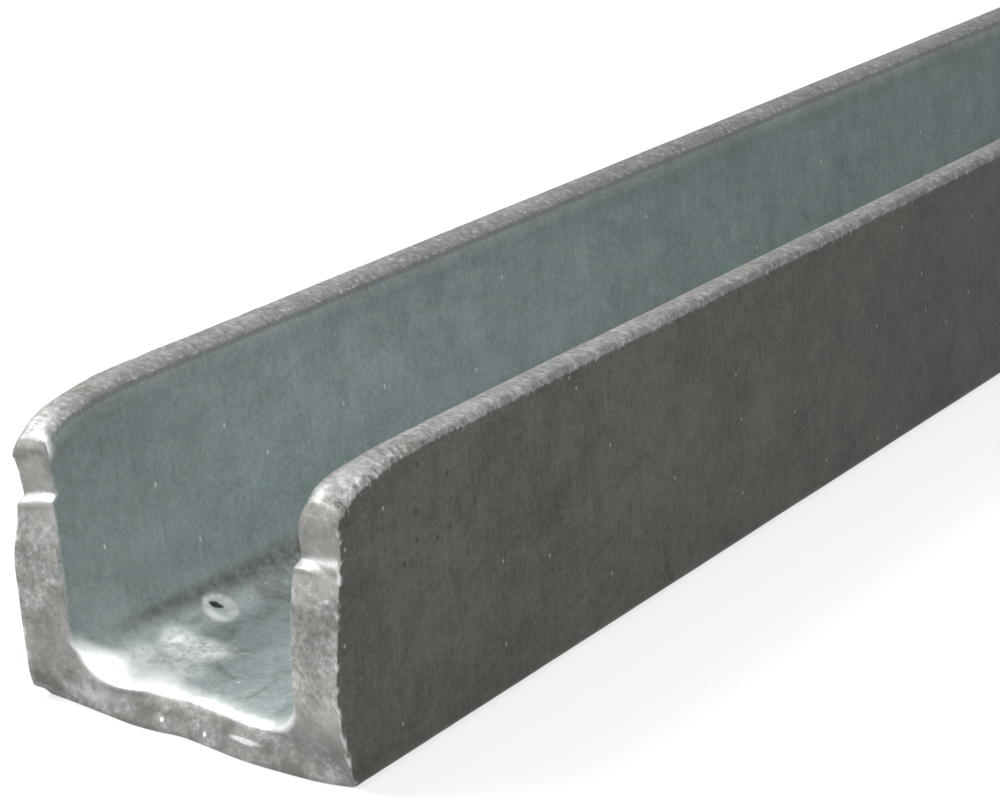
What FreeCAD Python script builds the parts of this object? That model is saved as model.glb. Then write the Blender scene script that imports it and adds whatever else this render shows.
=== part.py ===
import FreeCAD
import Part
import Sketcher

import math
import os

# One bar of hot-rolled steel channel, 50 mm wide and 38 mm high, galvanized after it was sheared to length.
# It lies on its web with both flanges up: +X runs across the web, +Y along the bar and +Z up.
# The origin is the middle of the rectangle that the bar covers on the floor.
# The end at -Y was sheared: its flange tips droop, a ledge crosses each flange, and the cut face bulges.
# The end at +Y is cut square.

NODE = "u_channel"
SHEET = "sizes"

# Every driving size in millimetres, apart from the taper, which is a slope.
# A setback is measured along the bar from the foremost point of the sheared end.
SIZES = (
    ("stock_length", 500.0, "over all, along the bar"),
    ("section_width", 50.0, "over the backs of the two flanges"),
    ("flange_height", 38.0, "from the underside of the web to the flange tips"),
    ("web_thickness", 5.0, "underside to trough floor"),
    ("flange_thickness", 7.0, "at half the flange height"),
    ("flange_taper", 0.08, "slope of each flange's inner face"),
    ("root_radius", 7.0, "fillet between the trough floor and a flange"),
    ("tip_inner_radius", 3.5, "inner corner of a flange tip"),
    ("tip_outer_radius", 1.0, "outer corner of a flange tip"),
    ("heel_radius", 1.5, "outer corner between the web and a flange"),
    ("toe_setback", 1.9, "of the cut face at the underside"),
    ("crest_bottom", 9.5, "height where the bulge's foremost stretch begins"),
    ("crest_top_drop", 18.5, "from the flange tips down to where it ends"),
    ("crest_radius", 12.0, "rounding at both ends of that stretch"),
    ("ledge_setback", 1.5, "front edge of the ledge across each flange"),
    ("ledge_drop", 12.5, "from the flange tips down to that edge"),
    ("ledge_rise", 0.6, "from the ledge's front edge to its back"),
    ("recess_setback", 2.85, "back of the ledge, where the recess above it starts"),
    ("nose_setback", 1.6, "corner of the flange tip, before it is rounded"),
    ("nose_drop", 3.6, "from the flange tips down to that corner"),
    ("nose_radius", 3.6, "rounding of that corner"),
    ("shoulder_setback", 13.0, "where the droop of the flange tip turns steeper"),
    ("shoulder_drop", 0.55, "of the tip at that place"),
    ("shoulder_radius", 30.0, "rounding of that turn"),
    ("droop_length", 24.0, "from the foremost point to where the tips are level"),
    ("roll_radius", 1.0, "inner edge of the cut, rolled over by the shear blade"),
    ("square_edge_radius", 0.4, "edges of the square end"),
    ("overcut", 5.0, "by which the sheared-off waste reaches past the bar"),
)

# A sketch on each of these sees its own x run along the bar or across it, and its own y run up.
ACROSS_THE_BAR = FreeCAD.Placement(FreeCAD.Vector(), FreeCAD.Rotation(FreeCAD.Vector(1, 0, 0), 90))
ALONG_THE_BAR = FreeCAD.Placement(FreeCAD.Vector(), FreeCAD.Rotation(FreeCAD.Vector(1, 1, 1), 120))

START, END = 1, 2
SAME_PLACE = 1e-6
# The roll-over runs up to the ledge, so it takes no more than this share of the ledge's depth.
LEDGE_SHARE = 0.8


def make_sheet(doc):
    """The driving sizes, one row each: its name, its value under that name as alias, and what it measures."""
    sheet = doc.addObject("Spreadsheet::Sheet", SHEET)
    for row, (alias, value, meaning) in enumerate(SIZES, start=1):
        sheet.set(f"A{row}", alias)
        sheet.set(f"B{row}", str(value))
        sheet.set(f"C{row}", meaning)
        sheet.setAlias(f"B{row}", alias)
    doc.recompute()
    return sheet


def number(sheet, expression):
    """The value of an expression on the sheet, as a plain number."""
    value = sheet.evalExpression(expression)
    return float(getattr(value, "Value", value))


def constrain(sketch, kind, places, expression):
    """Add a dimension that takes its value from an expression on the sheet."""
    value = number(sketch.Document.getObject(SHEET), expression)
    index = sketch.addConstraint(Sketcher.Constraint(kind, *places, value))
    sketch.setExpression(f"Constraints[{index}]", expression)


def corner_arc(before, corner, after, radius):
    """The round of a corner: its centre, its touching points and whether the outline turns left there."""
    inward = (before - corner).normalize()
    outward = (after - corner).normalize()
    half_angle = inward.getAngle(outward) / 2
    reach = radius / math.tan(half_angle)
    bisector = (inward + outward).normalize()
    centre = corner + bisector * (radius / math.sin(half_angle))
    turns_left = (corner - before).cross(after - corner).z > 0
    return centre, corner + inward * reach, corner + outward * reach, turns_left


def add_outline(sketch, sheet, corners):
    """Draw a closed outline of straight sides through corners, each (x, y, radius or None) as expressions.

    Each corner is a construction point held by its two expressions. The sides pass through these points,
    and a corner with a radius gets an arc tangent to both of its sides.
    """
    points = [FreeCAD.Vector(number(sheet, x), number(sheet, y), 0) for x, y, _ in corners]
    count = len(corners)
    rounds = {}
    for place, (_, _, radius) in enumerate(corners):
        if radius:
            before, after = points[place - 1], points[(place + 1) % count]
            rounds[place] = corner_arc(before, points[place], after, number(sheet, radius))

    marks = []
    for point, (x, y, _) in zip(points, corners):
        mark = sketch.addGeometry(Part.Point(point), True)
        constrain(sketch, "DistanceX", (mark, START), x)
        constrain(sketch, "DistanceY", (mark, START), y)
        marks.append(mark)

    sides = []
    for place in range(count):
        following = (place + 1) % count
        begin = rounds[place][2] if place in rounds else points[place]
        finish = rounds[following][1] if following in rounds else points[following]
        sides.append(sketch.addGeometry(Part.LineSegment(begin, finish), False))
    for place, side in enumerate(sides):
        following = (place + 1) % count
        for mark_place, end in ((place, START), (following, END)):
            if mark_place in rounds:
                sketch.addConstraint(Sketcher.Constraint("PointOnObject", marks[mark_place], START, side))
            else:
                sketch.addConstraint(Sketcher.Constraint("Coincident", side, end, marks[mark_place], START))

    for place, (centre, arrive, leave, turns_left) in rounds.items():
        first, last = (arrive, leave) if turns_left else (leave, arrive)
        circle = Part.Circle(centre, FreeCAD.Vector(0, 0, 1), (first - centre).Length)
        arc = Part.ArcOfCircle(circle, circle.parameter(first), circle.parameter(last))
        bend = sketch.addGeometry(arc, False)
        arriving_end, leaving_end = (START, END) if turns_left else (END, START)
        sketch.addConstraint(Sketcher.Constraint("Tangent", sides[place - 1], END, bend, arriving_end))
        sketch.addConstraint(Sketcher.Constraint("Tangent", sides[place], START, bend, leaving_end))
        constrain(sketch, "Radius", (bend,), corners[place][2])


def make_sketch(doc, sheet, name, placement, corners):
    """A fully constrained sketch of one closed outline."""
    sketch = doc.addObject("Sketcher::SketchObject", name)
    sketch.Placement = placement
    add_outline(sketch, sheet, corners)
    doc.recompute()
    if sketch.solve() != 0 or not sketch.FullyConstrained:
        raise ValueError(f"{name} is not fully constrained")
    return sketch


def extrude(doc, name, sketch, length):
    """A solid of the sketch's outline, reaching to both sides of the sketch's plane by half the length."""
    solid = doc.addObject("Part::Extrusion", name)
    solid.Base = sketch
    solid.DirMode = "Normal"
    solid.Solid = True
    solid.Symmetric = True
    solid.setExpression("LengthFwd", length)
    doc.recompute()
    return solid


def section_corners():
    """The rolled section, seen from the sheared end: round the outside, then down into the trough and out."""
    half = "sizes.section_width / 2"
    taper = "sizes.flange_taper"
    middle = "sizes.flange_height / 2"
    tip_face = f"({half} - sizes.flange_thickness + {taper} * {middle})"
    root_face = f"({half} - sizes.flange_thickness - {taper} * ({middle} - sizes.web_thickness))"
    right = (
        (half, "0", "sizes.heel_radius"),
        (half, "sizes.flange_height", "sizes.tip_outer_radius"),
        (tip_face, "sizes.flange_height", "sizes.tip_inner_radius"),
        (root_face, "sizes.web_thickness", "sizes.root_radius"),
    )
    left = tuple((f"-({x})", y, radius) for x, y, radius in reversed(right))
    return right + left


def shear_corners():
    """The waste that the shear took, seen from the side: its back is the profile of the cut end."""
    def at(setback):
        return f"{setback} - sizes.stock_length / 2"

    below = "-sizes.overcut"
    above = "sizes.flange_height + sizes.overcut"
    ledge = "sizes.flange_height - sizes.ledge_drop"
    return (
        (at("-sizes.overcut"), below, None),
        (at("sizes.toe_setback"), below, None),
        (at("sizes.toe_setback"), "0", None),
        (at("0"), "sizes.crest_bottom", "sizes.crest_radius"),
        (at("0"), "sizes.flange_height - sizes.crest_top_drop", "sizes.crest_radius"),
        (at("sizes.ledge_setback"), ledge, None),
        (at("sizes.recess_setback"), f"{ledge} + sizes.ledge_rise", None),
        (at("sizes.nose_setback"), "sizes.flange_height - sizes.nose_drop", "sizes.nose_radius"),
        (at("sizes.shoulder_setback"), "sizes.flange_height - sizes.shoulder_drop", "sizes.shoulder_radius"),
        (at("sizes.droop_length"), "sizes.flange_height", None),
        (at("sizes.droop_length"), above, None),
        (at("-sizes.overcut"), above, None),
    )


def rolled_edges(shape, sizes):
    """Numbers of the edges along the floor and both roots where the cut face meets the trough."""
    picked = []
    for index, edge in enumerate(shape.Edges, start=1):
        box = edge.BoundBox
        at_the_cut = box.YMax < sizes["toe_setback"] - sizes["stock_length"] / 2
        in_the_trough = box.ZMin > sizes["web_thickness"] - SAME_PLACE and box.XLength > SAME_PLACE
        inside = max(abs(box.XMin), abs(box.XMax)) < sizes["section_width"] / 2 - sizes["tip_outer_radius"]
        if at_the_cut and in_the_trough and inside:
            picked.append(index)
    return picked


def square_edges(shape, sizes):
    """Numbers of the edges all round the square end."""
    end = sizes["stock_length"] / 2
    return [
        index
        for index, edge in enumerate(shape.Edges, start=1)
        if edge.BoundBox.YMin > end - SAME_PLACE
    ]


def round_edges(doc, name, base, edges, radius):
    """A fillet of one radius on the numbered edges of the base."""
    fillet = doc.addObject("Part::Fillet", name)
    fillet.Base = base
    fillet.Edges = [(edge, radius, radius) for edge in edges]
    doc.recompute()
    return fillet


def check(doc, before, after):
    """Stop unless every object is sound, the shear took something and one solid is left."""
    for item in doc.Objects:
        if {"Invalid", "Error"} & set(item.State):
            raise ValueError(f"{item.Label} failed: {item.State}")
    shape = after.Shape
    if shape.isNull() or not shape.isValid() or len(shape.Solids) != 1:
        raise ValueError(f"{after.Label} is not one valid solid")
    if shape.Volume >= before.Shape.Volume:
        raise ValueError("the shear and the fillets took nothing")


def build():
    """Make the document and return it with the finished bar."""
    doc = FreeCAD.newDocument("channel_stock")
    sheet = make_sheet(doc)
    sizes = {alias: number(sheet, f"{SHEET}.{alias}") for alias, _, _ in SIZES}

    section = make_sketch(doc, sheet, "section_outline", ACROSS_THE_BAR, section_corners())
    rolled_bar = extrude(doc, "rolled_bar", section, "sizes.stock_length")

    profile = make_sketch(doc, sheet, "shear_outline", ALONG_THE_BAR, shear_corners())
    waste = extrude(doc, "shear_waste", profile, "sizes.section_width + 2 * sizes.overcut")

    sheared_bar = doc.addObject("Part::Cut", "sheared_bar")
    sheared_bar.Base = rolled_bar
    sheared_bar.Tool = waste
    doc.recompute()

    edges = rolled_edges(sheared_bar.Shape, sizes)
    ledge_depth = sizes["recess_setback"] - sizes["ledge_setback"]
    roll = min(sizes["roll_radius"], LEDGE_SHARE * ledge_depth)
    rolled_over = round_edges(doc, "rolled_over_cut", sheared_bar, edges, roll)
    edges = square_edges(rolled_over.Shape, sizes)
    finished = round_edges(doc, NODE, rolled_over, edges, sizes["square_edge_radius"])
    finished.Label = NODE
    check(doc, rolled_bar, finished)
    return doc, finished


def export(piece):
    """Write the piece to its STEP file and print its box and volume."""
    os.makedirs("parts", exist_ok=True)
    piece.Shape.exportStep(f"parts/{piece.Label}.step")
    box = piece.Shape.BoundBox
    print(f"{piece.Label}: x {box.XMin:.3f}..{box.XMax:.3f}, y {box.YMin:.3f}..{box.YMax:.3f},"
          f" z {box.ZMin:.3f}..{box.ZMax:.3f}, volume {piece.Shape.Volume:.1f}")


document, channel = build()
export(channel)
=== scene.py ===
"""Looks of one bar of hot-rolled steel channel, sheared at one end and then hot-dip galvanized.

The bar lies on its web with its flanges up. One closed skin stands for the solid bar and adds what the shear
and the zinc bath left: drooping flange tips, a ledge across each flange, a rolled-over trough edge, a coarse
cut face, dents, runs, pits and a weathered coat, whose colours also hold painted highlights and painted
shade.
The shapes are worked out in millimetres, from the nominal cut along +Y, and the finishes in metres.
"""

import logging
import math
from dataclasses import dataclass, field
from enum import Enum
from typing import Sequence, Union

import bpy
import numpy as np
from mathutils import Matrix, Vector


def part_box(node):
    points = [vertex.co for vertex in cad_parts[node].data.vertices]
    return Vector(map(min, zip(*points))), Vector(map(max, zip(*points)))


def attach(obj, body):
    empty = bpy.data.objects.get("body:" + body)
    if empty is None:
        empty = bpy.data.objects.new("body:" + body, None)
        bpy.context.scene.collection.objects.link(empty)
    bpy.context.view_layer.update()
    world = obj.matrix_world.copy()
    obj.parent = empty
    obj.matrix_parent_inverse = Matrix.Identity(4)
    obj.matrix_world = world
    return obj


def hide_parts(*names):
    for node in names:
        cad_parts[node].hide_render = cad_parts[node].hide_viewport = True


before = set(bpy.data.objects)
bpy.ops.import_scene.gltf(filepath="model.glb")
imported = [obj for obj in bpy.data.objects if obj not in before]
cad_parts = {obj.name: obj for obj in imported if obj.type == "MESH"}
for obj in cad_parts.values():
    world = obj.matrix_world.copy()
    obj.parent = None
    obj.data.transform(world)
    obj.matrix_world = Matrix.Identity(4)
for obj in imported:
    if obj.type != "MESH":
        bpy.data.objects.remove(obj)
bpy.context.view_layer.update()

LOG = logging.getLogger("channel")
MM = 0.001
NODE = "u_channel"
GRADING_SAMPLES = 4001

Array = np.ndarray
Number = Union[float, int]
Amount = Union[float, int, np.ndarray]
Span = tuple[float, float]
Stations = tuple[Span, ...]
Place = tuple[float, float, float]


# ------------------------------------------------------------------------------------ smooth numbers

def smooth_step(low: Amount, high: Amount, value: Amount) -> Array:
    """Rise from 0 at low to 1 at high along 3t^2 - 2t^3, and stay level outside.

    Args:
        low: Where the rise starts.
        high: Where it ends; it may be the smaller one, for a fall.
        value: Numbers to look up.

    Returns:
        The share of the rise at each number.
    """
    share = np.clip((value - low) / (high - low), 0.0, 1.0)
    return share * share * (3.0 - 2.0 * share)


def hump(centre: Amount, width: Amount, value: Amount) -> Array:
    """A bell of height 1 at centre, exp(-((value - centre) / width)^2)."""
    return np.exp(-(((value - centre) / width) ** 2))


def mix(first: Amount, second: Amount, share: Amount) -> Array:
    """Go from first to second by a share: first + (second - first) * share."""
    return first + (second - first) * share


def through(stations: Stations, value: Array) -> Array:
    """Join a few (place, amount) stations by a cubic whose slope at each is that of its neighbours.

    Args:
        stations: Places in rising order, each with its amount.
        value: Places to look up.

    Returns:
        The amount at each place, level outside the stations.
    """
    places = np.array([place for place, _ in stations])
    amounts = np.array([amount for _, amount in stations])
    slopes = np.gradient(amounts, places)
    index = np.clip(np.searchsorted(places, value) - 1, 0, len(places) - 2)
    span = places[index + 1] - places[index]
    share = np.clip((value - places[index]) / span, 0.0, 1.0)
    start, finish = amounts[index], amounts[index + 1]
    lean_start, lean_finish = slopes[index] * span, slopes[index + 1] * span
    return ((2 * share**3 - 3 * share**2 + 1) * start + (share**3 - 2 * share**2 + share) * lean_start
            + (3 * share**2 - 2 * share**3) * finish + (share**3 - share**2) * lean_finish)


def lattice_value(corner: Array, seed: int) -> Array:
    """A repeatable number from -1 to 1 for each whole-number corner of a 3-D lattice.

    The corner's three numbers and the seed are multiplied by large odd numbers, mixed by shifts, and scaled.
    """
    mixed = (corner[..., 0].astype(np.uint32) * np.uint32(374761393)
             + corner[..., 1].astype(np.uint32) * np.uint32(668265263)
             + corner[..., 2].astype(np.uint32) * np.uint32(2246822519)
             + np.uint32((seed * 3266489917) % 2**32))
    mixed = (mixed ^ (mixed >> np.uint32(13))) * np.uint32(1274126177)
    mixed = mixed ^ (mixed >> np.uint32(16))
    return mixed.astype(np.float64) / 2.0**31 - 1.0


def noise(points: Array, grain: Union[Number, Sequence[Number]], seed: int, octaves: int = 1) -> Array:
    """Smooth noise: lattice values blended along eased shares of each cell, summed over halving grains.

    Args:
        points: Places, with x, y and z last.
        grain: Size of one cell, or its sizes along x, y and z.
        seed: Which noise.
        octaves: How many grains to sum, each half as coarse and half as strong.

    Returns:
        Numbers from about -1 to 1.
    """
    total = np.zeros(points.shape[:-1])
    strength, reach = 1.0, 0.0
    scaled = points / np.asarray(grain, dtype=float)
    for octave in range(octaves):
        cell = np.floor(scaled)
        share = scaled - cell
        share = share * share * (3.0 - 2.0 * share)
        cell = cell.astype(np.int64)
        value = np.zeros(points.shape[:-1])
        for step in range(8):
            offset = np.array([step & 1, step >> 1 & 1, step >> 2 & 1])
            weight = np.prod(np.where(offset == 1, share, 1.0 - share), axis=-1)
            value += weight * lattice_value(cell + offset, seed + 17 * octave)
        total += strength * value
        reach += strength
        strength *= 0.5
        scaled = scaled * 2.0 + 11.3
    return total / reach


def graded(count: int, focuses: Sequence[Place]) -> Array:
    """Places from 0 to 1 that crowd together at the focuses.

    Their density is 1 plus, for each focus (place, width, strength), a bell of that strength.

    Args:
        count: Number of steps.
        focuses: Where to crowd, how widely and how much.

    Returns:
        count + 1 places, rising from 0 to 1.
    """
    fine = np.linspace(0.0, 1.0, GRADING_SAMPLES)
    density = np.ones_like(fine)
    for place, width, strength in focuses:
        density += strength * hump(place, width, fine)
    run = np.concatenate([[0.0], np.cumsum((density[1:] + density[:-1]) / 2)])
    return np.interp(np.linspace(0.0, run[-1], count + 1), run, fine)


# ------------------------------------------------------------------------------------ rolled section

@dataclass(frozen=True)
class RolledSection:
    """The bar's cross-section, seen from the sheared end: x to the right, z up, in millimetres."""

    width: float = 50.0
    height: float = 38.0
    web: float = 5.0
    flange: float = 7.0
    taper: float = 0.08
    root_radius: float = 7.0
    tip_inner_radius: float = 3.5
    tip_outer_radius: float = 1.0
    heel_radius: float = 1.5
    arc_steps: int = 48
    normal_reach: float = 0.05
    flange_focuses: tuple[Place, ...] = (
        (0.0, 0.05, 1.5), (0.335, 0.035, 4.0), (0.14, 0.05, 1.0), (1.0, 0.05, 1.5))
    web_focuses: tuple[Place, ...] = ((0.0, 0.03, 1.5), (1.0, 0.03, 1.5))

    def inner_x(self, z: Number) -> float:
        """Distance of a flange's inner face from the middle of the bar, at a height."""
        return self.width / 2 - self.flange - self.taper * (self.height / 2 - z)

    def corners(self) -> list[tuple[float, float, float]]:
        """The outline's sharp corners with their radii, from the left heel round and through the trough."""
        half = self.width / 2
        tip, root = self.inner_x(self.height), self.inner_x(self.web)
        right = [(half, 0.0, self.heel_radius), (half, self.height, self.tip_outer_radius),
                 (tip, self.height, self.tip_inner_radius), (root, self.web, self.root_radius)]
        left = [(-x, z, radius) for x, z, radius in reversed(right)]
        return [left[2], left[3], *right, left[0], left[1]]

    def outline(self) -> tuple[Array, list[int]]:
        """The rounded outline as a fine closed polyline, and the number of each round's middle point.

        A round's centre is on the bisector of its corner at radius / sin(half the corner's angle).
        """
        corners = self.corners()
        points, middles = [], []
        for place, (x, z, radius) in enumerate(corners):
            here = np.array([x, z])
            before = np.array(corners[place - 1][:2]) - here
            after = np.array(corners[(place + 1) % len(corners)][:2]) - here
            before, after = before / np.linalg.norm(before), after / np.linalg.norm(after)
            half_angle = math.acos(float(np.dot(before, after))) / 2
            centre = here + (before + after) / np.linalg.norm(before + after) * radius / math.sin(half_angle)
            touch = here + before * radius / math.tan(half_angle)
            start = math.atan2(*(touch - centre)[::-1])
            turn = math.copysign(1, before[1] * after[0] - before[0] * after[1])
            sweep = (math.pi - 2 * half_angle) * turn
            angles = start + sweep * np.linspace(0, 1, self.arc_steps + 1)
            middles.append(len(points) + self.arc_steps // 2)
            points.extend(centre + radius * np.stack([np.cos(angles), np.sin(angles)], axis=-1))
        return np.array(points), middles

    def sides(self, flange_steps: int, web_steps: int, tip_steps: int) -> "RingPlan":
        """Split the outline at its four tip corners into an outer side, two tips and an inner side.

        Args:
            flange_steps: Steps from a tip to the middle of its heel or root.
            web_steps: Steps from heel to heel and from root to root.
            tip_steps: Steps across a tip.

        Returns:
            The plan of a ring round the section.
        """
        line, middles = self.outline()
        closed = np.vstack([line, line[:1]])
        distance = np.concatenate([[0.0], np.cumsum(np.linalg.norm(np.diff(closed, axis=0), axis=1))])
        total = distance[-1]
        marks = [distance[index] for index in middles]
        unrolled = [marks[0], *[mark if mark > marks[0] else mark + total for mark in marks[1:]]]
        tip_a, heel_a, heel_b, tip_b, tip_c, root_c, root_d, tip_d = unrolled
        flange = graded(flange_steps, self.flange_focuses)
        web = graded(web_steps, self.web_focuses)
        tip = np.linspace(0.0, 1.0, tip_steps + 1)
        runs = (mix(tip_a, heel_a, flange)[:-1], mix(heel_a, heel_b, web)[:-1],
                mix(tip_b, heel_b, flange)[:0:-1], mix(tip_b, tip_c, tip)[:-1],
                mix(tip_c, root_c, flange)[:-1], mix(root_c, root_d, web)[:-1],
                mix(tip_d, root_d, flange)[:0:-1], mix(tip_d, tip_a + total, tip)[:-1])
        along = np.concatenate(runs)
        twice = np.concatenate([distance[:-1], distance + total])
        doubled = np.vstack([closed[:-1], closed])

        def at(shift: float) -> Array:
            """The outline's points, each this much farther along."""
            return np.stack([np.interp(along + shift, twice, doubled[:, axis]) for axis in (0, 1)], axis=-1)

        run = at(self.normal_reach) - at(-self.normal_reach)
        run = run / np.linalg.norm(run, axis=-1, keepdims=True)
        normal = np.stack([run[:, 1], -run[:, 0]], axis=-1)
        return RingPlan(at(0.0), normal, 2 * flange_steps + web_steps, tip_steps)


@dataclass(frozen=True)
class RingPlan:
    """A ring of points round the section, from the left tip down, across, up and back through the trough."""

    place: Array
    normal: Array
    side_steps: int
    tip_steps: int

    @property
    def count(self) -> int:
        """Number of points in the ring."""
        return len(self.place)

    def outer(self) -> Array:
        """Numbers of the ring's points along the outer side, from the left tip to the right one."""
        return np.arange(self.side_steps + 1)

    def inner(self) -> Array:
        """Numbers of the points along the inner side, in the same direction as the outer side."""
        start = self.side_steps + self.tip_steps
        return (start + np.arange(self.side_steps + 1))[::-1]

    def tip(self, right: bool) -> Array:
        """Numbers of the points across a tip, from its outer corner to its inner one."""
        if right:
            return self.side_steps + np.arange(self.tip_steps + 1)
        start = 2 * self.side_steps + self.tip_steps
        return ((start + np.arange(self.tip_steps + 1)) % self.count)[::-1]

    def inside(self) -> Array:
        """1 for points of the trough, 0 for points outside, and a share across the tips."""
        share = np.zeros(self.count)
        share[self.inner()] = 1.0
        for right in (False, True):
            share[self.tip(right)] = np.linspace(0.0, 1.0, self.tip_steps + 1)
        return share


# --------------------------------------------------------------------------------------- sheared end

@dataclass(frozen=True)
class CutEdge:
    """How far back one upright edge of the cut face lies at a few heights, and how its tip droops behind it.

    The stations are (height, setback) and the droop is (distance from the cut, drop), in millimetres.
    """

    stations: Stations
    droop: Stations
    ledge_height: float
    ledge_depth: float
    ledge_rise: float = 0.9
    chin_height: float = 33.0

    def setback(self, z: Array) -> Array:
        """Setback at each height: the stations' run, plus a recess from the ledge that closes at the chin."""
        crest = self.ledge_height + self.ledge_rise
        opened = smooth_step(self.ledge_height, crest, z)
        closing = np.clip((self.chin_height - z) / (self.chin_height - crest), 0, 1)
        return through(self.stations, z) + self.ledge_depth * opened * closing


@dataclass(frozen=True)
class ShearedEnd:
    """The shape that the shear gave the near end, in millimetres; setbacks count from a nominal flat cut."""

    plane: float = 1.8
    left_outer: CutEdge = CutEdge(
        ((0, 0.2), (2.5, -0.65), (8, -1.12), (14, -1.33), (20, -1.25), (22.6, -0.5), (25.3, -0.05),
         (27, 0.0), (31.7, 0.0), (32.5, -0.1), (33.4, 0.7), (34.6, 1.6)),
        ((0, 4.8), (0.9, 4.2), (1.6, 3.65), (2.3, 3.1), (3.3, 2.4), (4.6, 1.75), (7.1, 1.15), (9.5, 0.68),
         (12, 0.32), (15, 0.1), (20, 0)), 25.4, 1.3)
    left_inner: CutEdge = CutEdge(
        ((3.5, 0.3), (8.5, -0.33), (11, -0.62), (15, -0.5), (20, -0.14), (25.5, 0.05), (27, 0.0),
         (31.9, 0.5), (33.4, 1.0), (34.6, 1.7)),
        ((0, 4.4), (1.2, 3.4), (2.4, 2.7), (4.2, 1.7), (7.1, 0.95), (10, 0.45), (13, 0.15), (20, 0)),
        26.8, 0.95)
    right_inner: CutEdge = CutEdge(
        ((3.5, 0.2), (8.2, -0.35), (13, -0.85), (18, -1.0), (22, -1.05), (24.7, -0.8), (26.5, -0.5),
         (28, -0.4), (32, -0.1), (33.4, 0.4), (34.9, 0.9)),
        ((0, 3.6), (0.6, 2.9), (2, 1.6), (4.7, 0.7), (8.3, 0.3), (12, 0.08), (18, 0)), 26.7, 1.35)
    right_outer: CutEdge = CutEdge(
        ((0, 0.9), (1.4, 0.36), (3.9, -0.24), (6.7, -0.88), (10, -1.45), (13, -1.72), (16, -1.41), (20, -0.9),
         (24, -0.4), (27.3, 0.15), (30, 0.3), (32, 0.35), (33.4, 0.8), (34.6, 1.5)),
        ((0, 4.4), (0.8, 3.95), (1.6, 3.35), (2.5, 2.8), (4.3, 2.0), (7.2, 1.1), (11.7, 0.32), (17, 0)),
        27.4, 0.2)
    underside: Stations = (
        (-25, 1.3), (-22, 1.2), (-15, 0.6), (-8, 0.1), (-5, 0.3), (-2, 0.7), (1.3, 0.5), (5, 0.1), (8, -0.2),
        (11, -0.25), (14, -0.15), (17, 0.0), (20.7, 0.4), (22.3, 0.8), (25, 1.5))
    floor_edge: Stations = (
        (-18, -0.15), (-17.3, 0.25), (-15, 0.25), (-13, 0.5), (-11.4, 0.9), (-8.8, 1.65), (-6.8, 2.4),
        (-4.4, 2.7), (-1.6, 2.6), (4, 2.05), (7.2, 1.4), (10, 1.4), (12.2, 1.2), (14.5, 0.2), (16, -0.3),
        (18, -0.35))
    droop_span: Span = (25.0, 38.0)
    heel_span: Span = (2.0, 0.1)
    floor_span: Span = (9.5, 7.8)

    def edge_setback(self, ring: RingPlan) -> Array:
        """Setback of each point of the ring that bounds the cut face, at its height after the droop."""
        x = ring.place[:, 0]
        z = self.drooped(ring, ring.place[None, :, 1], np.ones((1, ring.count)))[0]
        result = np.zeros(ring.count)
        outer, inner = ring.outer(), ring.inner()
        for side, numbers, edge in ((-1, outer, self.left_outer), (1, outer, self.right_outer),
                                    (-1, inner, self.left_inner), (1, inner, self.right_inner)):
            chosen = numbers[np.sign(x[numbers]) == side]
            result[chosen] = edge.setback(z[chosen])
        for numbers, edge, span in ((outer, self.underside, self.heel_span),
                                    (inner, self.floor_edge, self.floor_span)):
            result[numbers] = mix(result[numbers], through(edge, x[numbers]), smooth_step(*span, z[numbers]))
        for right in (False, True):
            numbers = ring.tip(right)
            share = np.linspace(0.0, 1.0, len(numbers))
            result[numbers] = mix(result[numbers[0]], result[numbers[-1]], share)
        return result

    def drooped(self, ring: RingPlan, z: Array, y: Array) -> Array:
        """Heights after the droop: each flange's two droops, blended across its tip and eased in from below.

        Args:
            ring: The points round the section.
            z: Heights before the droop, with the ring last.
            y: Distances from the nominal cut.

        Returns:
            The lowered heights.
        """
        share = ring.inside()[None, :]
        left = mix(through(self.left_outer.droop, y), through(self.left_inner.droop, y), share)
        right = mix(through(self.right_outer.droop, y), through(self.right_inner.droop, y), share)
        drop = np.where(ring.place[None, :, 0] < 0, left, right)
        return z - drop * smooth_step(*self.droop_span, ring.place[None, :, 1])


@dataclass(frozen=True)
class EdgeRoll:
    """How the skin curls in to meet the cut face: part of an ellipse, this deep and long, in millimetres."""

    outer_depth: float = 0.14
    outer_length: float = 0.3
    flange_depth: float = 0.16
    flange_length: float = 0.6
    floor_depth: float = 0.8
    floor_length_left: float = 4.6
    floor_length_right: float = 1.8
    tip_depth: float = 0.18
    tip_length: float = 0.5
    steepness: float = 0.93
    floor_span: Span = (11.0, 7.5)
    tip_span: Span = (34.0, 36.5)
    across_span: Span = (-14.0, 10.0)

    def sizes(self, ring: RingPlan) -> tuple[Array, Array]:
        """Depth and length of the roll at each point of the ring."""
        x, z = ring.place[:, 0], ring.place[:, 1]
        inside = ring.inside()
        floor = inside * smooth_step(*self.floor_span, z)
        tip = smooth_step(*self.tip_span, z)
        floor_length = mix(self.floor_length_left, self.floor_length_right, smooth_step(*self.across_span, x))
        depth = mix(self.outer_depth, self.flange_depth, inside)
        length = mix(self.outer_length, self.flange_length, inside)
        depth = mix(mix(depth, self.floor_depth, floor), self.tip_depth, tip)
        length = mix(mix(length, floor_length, floor), self.tip_length, tip)
        return depth, length


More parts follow.
